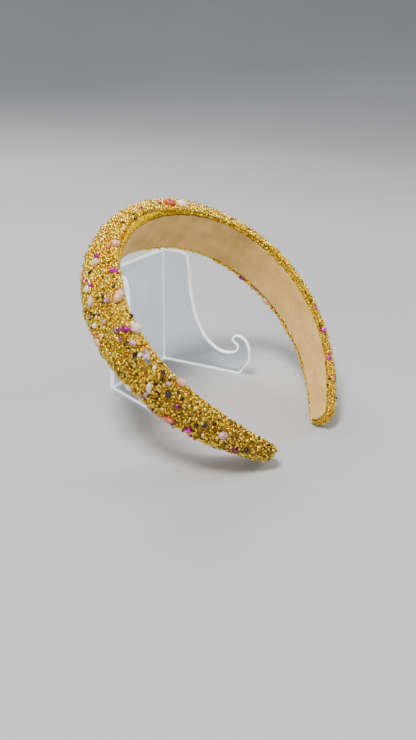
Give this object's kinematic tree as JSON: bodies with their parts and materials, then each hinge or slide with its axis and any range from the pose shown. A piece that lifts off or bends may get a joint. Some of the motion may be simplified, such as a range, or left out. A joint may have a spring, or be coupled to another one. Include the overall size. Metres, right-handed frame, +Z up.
{
  "type": "padded crystal headband on a small display easel",
  "caption": "Wide padded headband crusted with gold crushed crystal and coloured cut stones, with a suede-like lining, leaning on a small clear plastic display easel.",
  "frame": {"origin": "on the surface that the easel stands on, under the middle of the part's bounding box", "axes": "+Z up; +X along the crown of the headband, towards its right arm as the open side faces the viewer; the headband opens towards -Y and the easel's back plate is at +Y"},
  "size_m": [0.1489, 0.1329, 0.1116],
  "materials": {
    "cover_cloth": "mustard satin cover cloth, finely gathered at the edge",
    "lining_suede": "tan suede-like lining, soft and matt",
    "gold_crystal": "crushed gold crystal chips, bright and glossy",
    "clear_plastic": "clear moulded plastic with bright edges",
    "pink_crystal": "milky pink cut stone",
    "coral_crystal": "coral red cut stone",
    "magenta_crystal": "magenta cut stone, foil backed",
    "plum_crystal": "dark plum cut stone",
    "black_crystal": "glossy black cut stone",
    "pearl_crystal": "pearl white cut stone"
  },
  "bodies": {
    "root": {"padded_band": "cover_cloth", "inner_lining": "lining_suede", "crystal_crust": "gold_crystal", "display_easel": "clear_plastic", "black_stone_01": "black_crystal", "plum_stone_02": "plum_crystal", "pink_stone_03": "pink_crystal", "magenta_stone_04": "magenta_crystal", "coral_stone_05": "coral_crystal", "plum_stone_06": "plum_crystal", "pink_stone_07": "pink_crystal", "pink_stone_08": "pink_crystal", "black_stone_09": "black_crystal", "pink_stone_10": "pink_crystal", "magenta_stone_11": "magenta_crystal", "pink_stone_12": "pink_crystal", "pink_stone_13": "pink_crystal", "pink_stone_14": "pink_crystal", "black_stone_15": "black_crystal", "pink_stone_16": "pink_crystal", "pink_stone_17": "pink_crystal", "magenta_stone_18": "magenta_crystal", "plum_stone_19": "plum_crystal", "pink_stone_20": "pink_crystal", "pink_stone_21": "pink_crystal", "pink_stone_22": "pink_crystal", "pink_stone_23": "pink_crystal", "pearl_stone_24": "pearl_crystal", "magenta_stone_25": "magenta_crystal", "pearl_stone_26": "pearl_crystal", "magenta_stone_27": "magenta_crystal", "coral_stone_28": "coral_crystal", "pink_stone_29": "pink_crystal", "black_stone_30": "black_crystal", "coral_stone_31": "coral_crystal", "pearl_stone_32": "pearl_crystal", "coral_stone_33": "coral_crystal", "magenta_stone_34": "magenta_crystal", "pink_stone_35": "pink_crystal", "pink_stone_36": "pink_crystal", "magenta_stone_37": "magenta_crystal", "magenta_stone_38": "magenta_crystal", "magenta_stone_39": "magenta_crystal", "pearl_stone_40": "pearl_crystal"}
  },
  "joints": []
}
